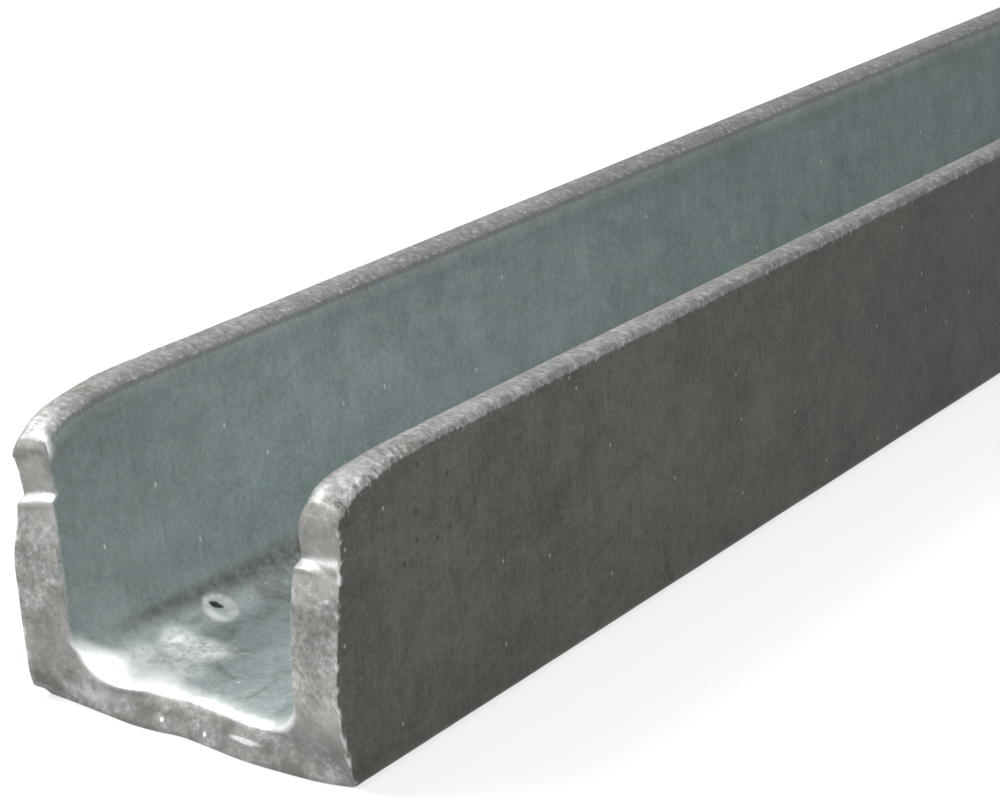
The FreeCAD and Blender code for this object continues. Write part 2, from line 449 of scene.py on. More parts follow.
@dataclass(frozen=True)
class ZincPit:
    """A slanting slot in the coat with a low ring of zinc round it, on the left root, in millimetres."""

    x: float = -13.75
    y: float = 22.2
    z: float = 6.05
    slope: float = 35.0
    slant: float = 50.0
    ring_radius: float = 1.85
    ring_width: float = 0.8
    ring_height: float = 0.2
    hole_length: float = 1.05
    hole_width: float = 0.5
    hole_depth: float = 0.5
    hole_rise: float = 0.75
    crest_share: float = 0.6
    reach: float = 6.0

    def down(self) -> Array:
        """The direction down the root's slope."""
        slope = math.radians(self.slope)
        return np.array([math.cos(slope), 0.0, -math.sin(slope)])

    def directions(self) -> tuple[Array, Array]:
        """The slot's long and short directions, both along the root's surface."""
        slant, down, along = math.radians(self.slant), self.down(), np.array([0.0, 1.0, 0.0])
        return (down * math.sin(slant) + along * math.cos(slant),
                down * math.cos(slant) - along * math.sin(slant))

    def centre(self) -> Array:
        """Middle of the ring."""
        return np.array([self.x, self.y, self.z])

    def hole_centre(self) -> Array:
        """Middle of the slot, a little up the root from the ring's middle."""
        return self.centre() - self.hole_rise * self.down()

    def relief(self, places: Array) -> Array:
        """Rise of the surface near the pit: a ring of zinc round the centre, less a slot in it."""
        away = np.linalg.norm(places - self.centre(), axis=-1)
        crest = self.ring_radius * self.crest_share
        ring = self.ring_height * smooth_step(self.ring_radius + self.ring_width, crest, away)
        long_way, short_way = self.directions()
        offset = places - self.hole_centre()
        slot = np.hypot(offset @ long_way / self.hole_length, offset @ short_way / self.hole_width)
        return ring - self.hole_depth * hump(0.0, 1.0, slot) * (away < self.reach)


class Face(Enum):
    """The shares that the skin's points carry for the finish to read."""

    CUT = "cut"
    TROUGH = "trough"
    TIP = "tip"
    # Burnished zinc under painted highlights: floor edge, tips' noses, flecks on the cut's rim, ledges, chin
    # and floor lip.
    BURNISH_AND_HIGHLIGHT = "burnish_and_highlight"
    SHADE = "shade"
    # Painted shade along the left root of the trough.
    ROOT_SHADE = "stain_and_shade"
    CRUMPLE = "crumple"


@dataclass(frozen=True)
class Lumps:
    """One layer of relief: the size of its lumps, its noise, how many grains are summed, and its height."""

    size: Union[float, Place]
    seed: int
    octaves: int = 2
    height: float = 1.0

    def at(self, places: Array) -> Array:
        """The layer's rise at each place: its height times smooth noise."""
        return self.height * noise(places, self.size, self.seed, self.octaves)


@dataclass(frozen=True)
class Wear:
    """Where the skin is burnished under painted highlights, crumpled, and darkened by painted shade at the
    root.

    A span is where a share starts and where it is full, and a bell is its middle and its width.
    """

    inner_tip: Span = (34.4, 35.0)
    outer_tip: Span = (35.8, 37.8)
    tip_wall: Span = (3.0, 1.0)
    cut_edge: Span = (0.0, 0.15)
    # The tips' noses and the flecks on the cut's rim: painted highlights over burnished zinc.
    nose_left: float = 0.65
    nose_right: float = 0.05
    nose_back: Span = (1.5, 0.4)
    nose_edge: Span = (0.15, 0.4)
    nose_middle_left: float = 1.6
    nose_middle_right: float = 2.2
    nose_width: float = 1.7
    fleck_gain: float = 3.0
    fleck_rarity: float = 0.2
    fleck_strength: float = 0.5
    fleck_back: Span = (0.05, 0.3)
    fleck_height: Span = (1.0, 4.0)
    crumple_height: Span = (35.8, 37.2)
    crumple_wall: Span = (2.9, 4.3)
    crumple_back: Span = (34.0, 6.0)
    crumple_least: float = 0.28
    crumple_left: float = 0.5
    # The floor band: burnished zinc under a painted highlight.
    floor_height: Span = (10.6, 7.6)
    band_reach: float = 7.0
    band_short_right: float = 2.7
    band_right: Span = (-8.0, -3.0)
    band_short_left: float = 4.5
    band_left: Span = (-14.3, -16.8)
    band_level: float = 0.28
    band_hard: float = 0.46
    band_hard_bell: Span = (-9.6, 2.8)
    band_soft: float = 0.25
    band_soft_span: Span = (-7.0, -3.0)
    band_fade: float = 0.68
    band_fade_span: Span = (-7.5, -2.0)
    edge_line: float = 0.6
    edge_bell: Span = (0.2, 0.75)
    # Painted shade along the left root: its middle, how it sinks and widens away from the cut, and where it
    # fades in.
    root_shade_height: float = 8.5
    root_shade_sink: float = 1.2
    root_shade_sink_span: Span = (5.0, 40.0)
    root_shade_spread: float = 0.7
    root_shade_spread_span: Span = (12.0, 40.0)
    root_shade_across: Span = (-6.0, -12.0)
    root_shade_back: Span = (1.0, 14.0)

    def nose(self, x: Array, back: Array, tip: Array, from_wall: Array) -> Array:
        """A painted highlight on the nose of each tip, just behind the cut: a bell across the tip."""
        strength = np.where(x < 0, self.nose_left, self.nose_right)
        middle = np.where(x < 0, self.nose_middle_left, self.nose_middle_right)
        along = smooth_step(*self.nose_back, back) * smooth_step(*self.nose_edge, back)
        return strength * tip * along * hump(middle, self.nose_width, from_wall)

    def flecks(self, z: Array, back: Array, outside: Array, grain: Array) -> Array:
        """Pale flecks along the outer edge of the cut, where the grain is high: burnished zinc with painted
        glints.
        """
        high = np.clip(self.fleck_gain * grain - self.fleck_rarity, 0.0, 1.0)
        return (self.fleck_strength * high * hump(*self.fleck_back, back) * outside
                * smooth_step(*self.fleck_height, z))

    def crumple(self, x: Array, y: Array, z: Array, from_wall: Array) -> Array:
        """The crumpled outer part of each tip, which fades along the bar."""
        across = smooth_step(*self.crumple_height, z) * smooth_step(*self.crumple_wall, from_wall)
        along = mix(self.crumple_least, 1.0, smooth_step(*self.crumple_back, y))
        return across * along * np.where(x < 0, self.crumple_left, 1.0)

    def floor_band(self, x: Array, z: Array, back: Array) -> Array:
        """The floor edge's burnished band under a painted highlight: long and hard at the left, short at the
        right.

        Its share falls from full at the level to nothing at the reach, and a thin line follows the very edge.
        """
        reach = (self.band_reach - self.band_short_right * smooth_step(*self.band_right, x)
                 - self.band_short_left * smooth_step(*self.band_left, x))
        level = (self.band_level + self.band_hard * hump(*self.band_hard_bell, x)
                 - self.band_soft * smooth_step(*self.band_soft_span, x))
        faded = 1.0 - self.band_fade * smooth_step(*self.band_fade_span, x)
        edge = self.edge_line * hump(*self.edge_bell, back)
        band = smooth_step(1.0, level, back / reach) * faded
        return smooth_step(*self.floor_height, z) * np.maximum(band, edge)

    def root_shade(self, x: Array, y: Array, z: Array) -> Array:
        """Painted shade along the left root: a bell across it that sinks and widens away from the cut."""
        middle = self.root_shade_height - self.root_shade_sink * smooth_step(*self.root_shade_sink_span, y)
        width = 1.0 + self.root_shade_spread * smooth_step(*self.root_shade_spread_span, y)
        return hump(middle, width, z) * smooth_step(*self.root_shade_across, x) * smooth_step(*self.root_shade_back, y)


@dataclass
class ChannelSkin:
    """The bar's whole closed skin: rings along the bar between a coarse cut face and a square one."""

    length_mm: float
    section: RolledSection = field(default_factory=RolledSection)
    end: ShearedEnd = field(default_factory=ShearedEnd)
    roll: EdgeRoll = field(default_factory=EdgeRoll)
    pit: ZincPit = field(default_factory=ZincPit)
    wear: Wear = field(default_factory=Wear)
    flange_steps: int = 84
    web_steps: int = 84
    tip_steps: int = 12
    inset: float = 0.06
    square_radius: float = 0.4
    setback_reach: float = 9.0
    first_rows: tuple[float, ...] = (0.0, 0.02, 0.06, 0.13, 0.22, 0.34, 0.5, 0.7, 0.95, 1.25, 1.6, 2.0, 2.45,
                                     2.95, 3.5)
    row_pitches: tuple[Span, ...] = ((0.55, 17.0), (0.75, 48.0), (3.0, 150.0))
    far_gap: float = 10.0
    far_rows: int = 30
    end_gap: float = 2.0
    rounded_rows: int = 5
    tip_inner_x: float = 19.5
    lean: float = 0.5
    dent_height: Span = (34.0, 36.8)
    rim_height: Span = (36.0, 37.5)
    rim_bell: Span = (0.2, 0.2)
    dent_least: float = 0.1
    dent_more: float = 0.3
    dent_back: Span = (40.0, 3.0)
    dent_left: float = 0.25
    dent_bias: float = 0.15
    settle: float = 0.03
    waves: Lumps = Lumps((9.0, 14.0, 9.0), 5, 2, 0.035)
    ripples: Lumps = Lumps((4.0, 1.6, 6.0), 6, 2, 0.02)
    crumple: Lumps = Lumps((2.6, 1.5, 2.0), 7)
    grains: Lumps = Lumps(1.1, 8, 3)
    lumps: Lumps = Lumps((3.0, 3.0, 2.2), 9)
    flecks: Lumps = Lumps((0.7, 0.7, 0.6), 11)

    def rows(self) -> Array:
        """Distances of the rings from the cut face: close together there, then wider and wider."""
        rows = list(self.first_rows)
        for pitch, stop in self.row_pitches:
            rows.extend(np.arange(rows[-1] + pitch, stop, pitch))
        last = self.length_mm - self.end.plane
        far = np.linspace(rows[-1] + self.far_gap, last - self.end_gap, self.far_rows)
        angle = np.linspace(0.0, math.pi / 2, self.rounded_rows)
        return np.concatenate([rows, far, last - self.square_radius * (1 - np.sin(angle))])

    def place_rings(self, ring: RingPlan) -> Array:
        """Work out every ring.

        A point starts on the section, is moved in by the roll at the cut and by the square end's rounding,
        goes along the bar by its row plus the cut face's setback, which fades out behind the cut, is lowered
        by the droop, and is last raised by the relief along its normal.

        Args:
            ring: The points round the section.

        Returns:
            Places of all points (rows, ring, 3) in millimetres from the nominal cut.
        """
        rows = self.rows()
        depth, roll_length = self.roll.sizes(ring)
        setback = self.end.edge_setback(ring)
        back = rows[:, None]
        share = np.clip(1.0 - back / roll_length[None, :], 0.0, 1.0)
        steep = self.roll.steepness
        full_curl = 1.0 - math.sqrt(1.0 - steep**2)
        curl = depth[None, :] * (1.0 - np.sqrt(1.0 - (steep * share) ** 2)) / full_curl
        far_share = np.clip((back - (rows[-1] - self.square_radius)) / self.square_radius, 0.0, 1.0)
        square = self.square_radius * (1.0 - np.sqrt(1.0 - far_share**2))
        inset = self.inset + curl + square
        x = ring.place[None, :, 0] - ring.normal[None, :, 0] * inset
        z = ring.place[None, :, 1] - ring.normal[None, :, 1] * inset
        y = back + setback[None, :] * (1.0 - smooth_step(0.0, self.setback_reach, back))
        z = self.end.drooped(ring, z, np.maximum(y, 0.0))
        places = np.stack([x + 0 * y, y, z], axis=-1)
        rise = self.skin_relief(places, ring)
        places[..., 0] += ring.normal[None, :, 0] * rise
        places[..., 2] += ring.normal[None, :, 1] * rise
        return places

    def skin_relief(self, places: Array, ring: RingPlan) -> Array:
        """Rise of the skin: long waves of zinc, dents along the tips' outer corners, and the pit."""
        inside = ring.inside()[None, :]
        z0 = ring.place[None, :, 1]
        y = places[..., 1]
        leaning = np.stack([places[..., 0], y + self.lean * places[..., 2], places[..., 2]], axis=-1)
        corner = (1 - inside) * smooth_step(*self.dent_height, z0)
        corner = corner + hump(*self.rim_bell, inside) * smooth_step(*self.rim_height, z0)
        strength = self.dent_least + self.dent_more * smooth_step(*self.dent_back, y)
        strength = strength * np.where(places[..., 0] > 0, 1.0, self.dent_left)
        dents = -strength * corner * np.clip(self.crumple.at(leaning) + self.dent_bias, 0.0, 1.0)
        fade = smooth_step(0.0, 1.0, y - y.min(axis=0, keepdims=True))
        swell = self.waves.at(places) + self.ripples.at(places) - self.settle
        return swell * fade + dents + self.pit.relief(places)

    def close_cut(self, ring: RingPlan, rim: Array) -> Array:
        """Fill the cut face between its rim's four sides.

        Each point is the two sides' blend plus the two tips' blend less the four corners' blend.

        Args:
            ring: The points round the section.
            rim: The first ring's places.

        Returns:
            Places of the face's points (side, tip, 3), its own rim included.
        """
        outer, inner = rim[ring.outer()], rim[ring.inner()]
        left, right = rim[ring.tip(False)], rim[ring.tip(True)]
        u = np.linspace(0, 1, len(outer))[:, None, None]
        v = np.linspace(0, 1, len(left))[None, :, None]
        corners = mix(mix(outer[0], outer[-1], u), mix(inner[0], inner[-1], u), v)
        return mix(outer[:, None], inner[:, None], v) + mix(left[None], right[None], u) - corners

    def cut_relief(self, face: Array) -> Array:
        """Rise of the cut face out of the bar: a low crown, with coarse grains between its smooth ends.

        The coarse stretch and the web each have a share, and the torn part of the web, a third.
        """
        z, x = face[..., 2], face[..., 0]
        shape = face.shape[:2]
        v = np.broadcast_to(np.linspace(0, 1, shape[1])[None, :], shape)
        u = np.broadcast_to(np.linspace(0, 1, shape[0])[:, None], shape)
        away = np.sin(math.pi * v) ** 0.5 * np.minimum(1.0, np.sin(math.pi * u) * 20)
        coarse = smooth_step(8.0, 12.0, z) * smooth_step(25.5, 22.0, z)
        web = smooth_step(8.0, 5.0, z) * smooth_step(22.0, 12.0, np.abs(x))
        torn = web * hump(-7.0, 6.0, x)
        grains = (0.02 + 0.1 * coarse + 0.06 * web + 0.12 * torn) * self.grains.at(face)
        lumps = 0.08 * (coarse + web + 1.4 * torn) * self.lumps.at(face)
        return 0.12 * np.sin(math.pi * v) + away * (grains + lumps)

    def build(self) -> bpy.types.Object:
        """Make the skin's mesh with its face shares.

        Returns:
            The finished object, at the origin.
        """
        ring = self.section.sides(self.flange_steps, self.web_steps, self.tip_steps)
        places = self.place_rings(ring)
        row_count, count = places.shape[:2]
        cut = self.close_cut(ring, places[0])
        cut[..., 1] -= self.cut_relief(cut)
        square = self.close_cut(ring, places[-1])
        shares = self.face_shares(ring, places)
        inner_cut = cut[1:-1, 1:-1]
        inner_square = square[1:-1, 1:-1]
        points = np.concatenate([part.reshape(-1, 3) for part in (places, inner_cut, inner_square)])
        points[:, 1] += self.end.plane - self.length_mm / 2
        points = self.keep_in(points)

        skin = np.arange(row_count * count).reshape(row_count, count)
        quads = [grid_quads(np.concatenate([skin, skin[:, :1]], axis=1))]
        start = row_count * count
        for row, facing_out in ((0, True), (row_count - 1, False)):
            grid = self.cap_numbers(ring, skin[row], start)
            quads.append(grid_quads(grid if facing_out else grid[::-1]))
            start += inner_cut.shape[0] * inner_cut.shape[1]
        obj = mesh_object("channel_bar", points * MM, np.concatenate(quads))
        caps = self.cap_shares(inner_cut, inner_square)
        for face in Face:
            values = np.concatenate([shares[face].reshape(-1), *caps[face]])
            layer = obj.data.attributes.new(face.value, "FLOAT", "POINT")
            layer.data.foreach_set("value", values.astype(np.float32))
        LOG.info("%s: %d rings of %d points, %d faces", obj.name, row_count, count, len(obj.data.polygons))
        return obj

    def keep_in(self, points: Array) -> Array:
        """Hold every point inside the bar's nominal size."""
        half = np.array([self.section.width / 2, self.length_mm / 2, self.section.height])
        low = np.array([-half[0], -half[1], 0.0])
        return np.clip(points, low, half)

    def cap_numbers(self, ring: RingPlan, rim: Array, start: int) -> Array:
        """Vertex numbers of an end face's grid: its rim from the ring, its inside from start on."""
        grid = np.zeros((ring.side_steps + 1, ring.tip_steps + 1), dtype=np.int64)
        inside_count = (ring.side_steps - 1) * (ring.tip_steps - 1)
        grid[1:-1, 1:-1] = start + np.arange(inside_count).reshape(ring.side_steps - 1, ring.tip_steps - 1)
        grid[:, 0], grid[:, -1] = rim[ring.outer()], rim[ring.inner()]
        grid[0, :], grid[-1, :] = rim[ring.tip(False)], rim[ring.tip(True)]
        return grid

    def face_shares(self, ring: RingPlan, places: Array) -> dict[Face, Array]:
        """The rings' shares: each point's face, its burnished zinc and painted highlight, and painted shade
        at the root.

        Args:
            ring: The points round the section.
            places: The rings' places.

        Returns:
            Each face's share at every point of the rings.
        """
        wear = self.wear
        inside = np.broadcast_to(ring.inside()[None, :], places.shape[:2])
        x0, z0 = (np.broadcast_to(ring.place[None, :, axis], places.shape[:2]) for axis in (0, 1))
        y = places[..., 1]
        back = self.rows()[:, None] + 0 * y
        from_wall = np.abs(x0) - self.tip_inner_x
        in_trough = inside > 0.9
        start, full = wear.outer_tip
        outer_tip = np.clip((z0 - start) / (full - start), 0.0, 1.0)
        tip = np.where(inside > 0.5, smooth_step(*wear.inner_tip, z0), outer_tip)
        flecks = wear.flecks(z0, back, 1 - inside, self.flecks.at(places))
        # Burnished zinc under painted highlights: the floor band, the tips' noses and the flecks on the cut's
        # rim.
        burnish_and_highlight = (in_trough * wear.floor_band(x0, z0, back), wear.nose(x0, back, tip, from_wall), flecks)
        return {Face.CUT: 1.0 - smooth_step(*wear.cut_edge, back),
                Face.TROUGH: np.maximum(in_trough, tip * smooth_step(*wear.tip_wall, from_wall)),
                Face.TIP: tip, Face.BURNISH_AND_HIGHLIGHT: np.maximum.reduce(burnish_and_highlight), Face.SHADE: np.zeros_like(y),
                # Painted shade along the left root.
                Face.ROOT_SHADE: in_trough * wear.root_shade(x0, y, z0),
                Face.CRUMPLE: wear.crumple(x0, y, z0, from_wall)}

    @staticmethod
    def cap_shares(cut: Array, square: Array) -> dict[Face, tuple[Array, Array]]:
        """Shares inside the two end faces: painted highlights on ledges, chin and floor lip; painted shade in
        creases.

        Args:
            cut: Places inside the cut face.
            square: Places inside the square face.

        Returns:
            Each face's share at every point of the cut face and of the square one.
        """
        near, far = (face.shape[0] * face.shape[1] for face in (cut, square))
        shares = {face: (np.zeros(near), np.zeros(far)) for face in Face}
        z, x = cut[..., 2].reshape(-1), cut[..., 0].reshape(-1)
        left, right = x < 0, x > 0
        # The ledges' heights above the floor: each slants up to the right, the left one more steeply.
        height = np.where(left, 25.9 + 0.22 * (x + 25), 27.2 + 0.1 * (x - 18))
        # Painted highlights: along each ledge, a faint line on the right chin, and the floor lip.
        ledge = np.where(left, 0.6, 0.8 * smooth_step(18.5, 21.5, x)) * hump(0.0, 0.42, z - height - 0.1)
        chin = 0.12 * hump(33.1, 0.14, z) * right
        across = np.linspace(0.0, 1.0, cut.shape[1] + 2)[None, 1:-1]
        across = np.broadcast_to(across, cut.shape[:2]).reshape(-1)
        lip = smooth_step(0.78, 1.0, across) * smooth_step(17.0, 14.5, np.abs(x)) * (z < 9.0)
        lip = lip * (0.5 - 0.4 * smooth_step(-7.0, -1.0, x))
        # A shallow arch under each tip, highest 22 mm from the middle of the bar.
        arch = np.where(left, 34.3, 34.6) - 0.02 * (np.abs(x) - 22) ** 2
        # Painted shade: under each ledge, in the left chin crease, on the inner end of the right ledge and
        # along each arch.
        under = np.maximum.reduce([0.5 * hump(-1.0, 0.3, z - height), 0.7 * hump(32.7, 0.3, z) * left,
                                   0.8 * hump(0.3, 0.7, z - height) * smooth_step(21.0, 18.5, x) * right,
                                   0.9 * hump(0.0, 0.22, z - arch)])
        shares[Face.CUT] = (np.ones(near), np.full(far, 0.6))
        shares[Face.BURNISH_AND_HIGHLIGHT] = (np.maximum.reduce([ledge, chin, lip]), np.zeros(far))
        shares[Face.SHADE] = (under, np.zeros(far))
        return shares


# -------------------------------------------------------------------------------------------- meshes

def grid_quads(numbers: Array) -> Array:
    """Quads between neighbouring rows and columns of a grid of vertex numbers."""
    a, b = numbers[:-1, :-1], numbers[:-1, 1:]
    c, d = numbers[1:, 1:], numbers[1:, :-1]
    return np.stack([a, b, c, d], axis=-1).reshape(-1, 4)


def mesh_object(name: str, points: Array, quads: Array) -> bpy.types.Object:
    """Make a smooth-shaded mesh object at the origin from points and quads.

    Args:
        name: Name of the object and its mesh.
        points: Places in metres.
        quads: Four vertex numbers for each face.

    Returns:
        The object, linked to the scene.
    """
    mesh = bpy.data.meshes.new(name)
    mesh.vertices.add(len(points))
    mesh.vertices.foreach_set("co", points.astype(np.float32).reshape(-1))
    mesh.loops.add(quads.size)
    mesh.loops.foreach_set("vertex_index", quads.astype(np.int32).reshape(-1))
    mesh.polygons.add(len(quads))
    mesh.polygons.foreach_set("loop_start", np.arange(0, quads.size, 4, dtype=np.int32))
    mesh.polygons.foreach_set("loop_total", np.full(len(quads), 4, dtype=np.int32))
    mesh.polygons.foreach_set("use_smooth", np.ones(len(quads), dtype=bool))
    mesh.update(calc_edges=True)
    mesh.validate()
    obj = bpy.data.objects.new(name, mesh)
    bpy.context.scene.collection.objects.link(obj)
    return obj


# ----------------------------------------------------------------------------------------- materials

class Signal:
    """A shader socket, or a plain number, that takes part in arithmetic by adding Math nodes."""

    def __init__(self, nodes: "NodeSheet", socket: Union[bpy.types.NodeSocket, float]) -> None:
        """Wrap a socket or a number of the given sheet of nodes."""
        self.nodes = nodes
        self.socket = socket

    def _math(self, operation: str, *others: Union["Signal", Number], clamp: bool = False) -> "Signal":
        """Add a Math node that works on this signal and the others."""
        return self.nodes.add("ShaderNodeMath", {"operation": operation, "use_clamp": clamp},
                              {index: item for index, item in enumerate((self, *others))})

    def __add__(self, other: Union["Signal", Number]) -> "Signal":
        """This plus the other."""
        return self._math("ADD", other)

    def __sub__(self, other: Union["Signal", Number]) -> "Signal":
        """This less the other."""
        return self._math("SUBTRACT", other)

    def __mul__(self, other: Union["Signal", Number]) -> "Signal":
        """This times the other."""
        return self._math("MULTIPLY", other)

    def __truediv__(self, other: Union["Signal", Number]) -> "Signal":
        """This over the other."""
        return self._math("DIVIDE", other)

    def __rsub__(self, other: Number) -> "Signal":
        """A number less this."""
        return Signal(self.nodes, float(other))._math("SUBTRACT", self)

    def __rtruediv__(self, other: Number) -> "Signal":
        """A number over this."""
        return Signal(self.nodes, float(other))._math("DIVIDE", self)

    __radd__ = __add__
    __rmul__ = __mul__

    def sibling(self, output: Union[int, str]) -> "Signal":
        """Another output of the same node."""
        return Signal(self.nodes, self.socket.node.outputs[output])

    def clamped(self) -> "Signal":
        """This, held between 0 and 1."""
        return self._math("ADD", 0.0, clamp=True)

    def size(self) -> "Signal":
        """This without its sign."""
        return self._math("ABSOLUTE")

    def power(self, exponent: Number) -> "Signal":
        """This to the power of the exponent."""
        return self._math("POWER", exponent)

    def step(self, low: Number, high: Number) -> "Signal":
        """Rise smoothly from 0 at low to 1 at high; high may be the smaller one."""
        if low > high:
            return 1.0 - self.step(high, low)
        return self.nodes.add("ShaderNodeMapRange", {"interpolation_type": "SMOOTHSTEP"},
                              {"Value": self, "From Min": low, "From Max": high})


Colour = Union[Signal, Sequence[float]]
MIX_FIRST, MIX_SECOND, MIX_RESULT = 6, 7, 2


@dataclass(frozen=True)
class Grain:
    """One noise of a finish: cells in a metre, detail, roughness, warp, and the stretch of the place."""

    scale: float
    detail: float
    rough: float = 0.5
    warp: float = 0.0
    stretch: Sequence[float] = ()


@dataclass(frozen=True)
class Mark:
    """A soft spot: its centre and reaches in metres, and where it starts and is full, in reaches."""

    centre: Place
    reach: Place
    fade: Span


@dataclass(frozen=True)
class Dots:
    """Scattered dots: cells in a metre, a dot's size in cells, and the share of the cells that stay bare."""

    scale: float
    size: float
    bare: float


class NodeSheet:
    """One material's nodes."""

    def __init__(self, tree: bpy.types.NodeTree) -> None:
        """Start on an empty node tree."""
        self.tree = tree
        self.tree.nodes.clear()

    def add(self, kind: str, settings: dict, values: dict, output: Union[int, str] = 0) -> Signal:
        """Add a node.

        Args:
            kind: The node's type.
            settings: Properties that are set first.
            values: Numbers, colours or signals for its named or numbered sockets.
            output: Which output to return.

        Returns:
            The chosen output, or 0 from a node that has none.
        """
        node = self.tree.nodes.new(kind)
        for name, value in settings.items():
            setattr(node, name, value)
        for key, value in values.items():
            if isinstance(value, Signal):
                value = value.socket
            if isinstance(value, bpy.types.NodeSocket):
                self.tree.links.new(value, node.inputs[key])
            else:
                node.inputs[key].default_value = value
        return Signal(self, node.outputs[output] if node.outputs else 0.0)

    def share(self, face: Face) -> Signal:
        """The share that the skin's points carry under the face's name."""
        return self.add("ShaderNodeAttribute", {"attribute_name": face.value}, {}, "Fac")

    def place(self) -> Signal:
        """Object coordinates."""
        return self.add("ShaderNodeTexCoord", {}, {}, "Object")

    def stretched(self, place: Signal, scale: Sequence[float], offset: Sequence[float] = (0, 0, 0)) -> Signal:
        """A place moved by the offset and then scaled along x, y and z."""
        moved = self.add("ShaderNodeVectorMath", {"operation": "ADD"}, {0: place, 1: tuple(offset)})
        return self.add("ShaderNodeVectorMath", {"operation": "MULTIPLY"}, {0: moved, 1: tuple(scale)})

    def noise(self, place: Signal, grain: Grain) -> Signal:
        """Noise from about 0 to 1 at the place."""
        if grain.stretch:
            place = self.stretched(place, grain.stretch)
        return self.add("ShaderNodeTexNoise", {}, {
            "Vector": place, "Scale": grain.scale, "Detail": grain.detail, "Roughness": grain.rough,
            "Distortion": grain.warp})

    def dots(self, place: Signal, dots: Dots) -> Signal:
        """Dots near the points scattered over x and y, in the few cells whose random colour is high."""
        distance = self.add("ShaderNodeTexVoronoi", {"voronoi_dimensions": "2D"},
                            {"Vector": place, "Scale": dots.scale}, "Distance")
        chance = self.add("ShaderNodeSeparateColor", {}, {0: distance.sibling("Color")}, 0)
        return distance.step(dots.size, dots.size * 0.4) * chance.step(dots.bare, dots.bare + 0.01)

    def away(self, place: Signal, centre: Sequence[float], reach: Sequence[float]) -> Signal:
        """Distance from a centre, in reaches along x, y and z."""
        centred = self.stretched(place, [1.0 / length for length in reach], [-value for value in centre])
        return self.add("ShaderNodeVectorMath", {"operation": "LENGTH"}, {0: centred}, "Value")

    def spot(self, place: Signal, mark: Mark, cut_y: float = 0.0) -> Signal:
        """A mark's share, with its centre counted from cut_y along y."""
        x, y, z = mark.centre
        return self.away(place, (x, y + cut_y, z), mark.reach).step(*mark.fade)

    def axis(self, place: Signal, name: str) -> Signal:
        """The place's X, Y or Z."""
        return self.add("ShaderNodeSeparateXYZ", {}, {0: place}, name)

    def blend(self, share: Union[Signal, Number], first: Colour, second: Colour, mode: str = "MIX") -> Signal:
        """Blend two colours by a share."""
        first, second = (item if isinstance(item, Signal) else (*item, 1.0) for item in (first, second))
        return self.add("ShaderNodeMix", {"data_type": "RGBA", "blend_type": mode},
                        {0: share, MIX_FIRST: first, MIX_SECOND: second}, MIX_RESULT)

    def paint(self, colour: Colour, layers: Sequence[tuple[Signal, Colour]]) -> Signal:
        """Lay colours over a colour one after another, each by its share."""
        for share, layer in layers:
            colour = self.blend(share, colour, layer)
        return colour

    def reach(self, place: Signal, centre: Sequence[float], direction: Sequence[float]) -> Signal:
        """Distance of the place from the centre along a direction, in metres."""
        moved = self.add("ShaderNodeVectorMath", {"operation": "SUBTRACT"}, {0: place, 1: tuple(centre)})
        return self.add("ShaderNodeVectorMath", {"operation": "DOT_PRODUCT"},
                        {0: moved, 1: tuple(direction)}, "Value")

    def grey(self, value: Signal) -> Signal:
        """A grey colour of the value."""
        return self.add("ShaderNodeCombineColor", {}, {0: value, 1: value, 2: value})

    def finish(self, kind: str, surface: Signal) -> None:
        """Link the surface to an output node of the given kind."""
        self.add(kind, {}, {"Surface": surface})

    def bump(self, height: Signal, distance: float, strength: float = 1.0) -> Signal:
        """A normal bent by the height, where a height of 1 stands the distance above 0."""
        return self.add("ShaderNodeBump", {}, {"Height": height, "Distance": distance, "Strength": strength})


class Ground:
    """What the layers of a finish read: the nodes, the place and its parts, and the skin's face shares."""

    def __init__(self, sheet: NodeSheet, cut_y: float) -> None:
        """Set them out; cut_y is where the nominal cut lies along the bar, in metres."""
        self.sheet = sheet
        self.cut_y = cut_y
        self.place = sheet.place()
        self.x, self.y, self.z = (sheet.axis(self.place, name) for name in "XYZ")
        self.back = self.y - cut_y
        self.shares = {face: sheet.share(face) for face in Face}

    def noise(self, grain: Grain) -> Signal:
        """A noise at the place."""
        return self.sheet.noise(self.place, grain)

    def spot(self, mark: Mark) -> Signal:
        """The share of a mark that is counted from the cut."""
        return self.sheet.spot(self.place, mark, self.cut_y)


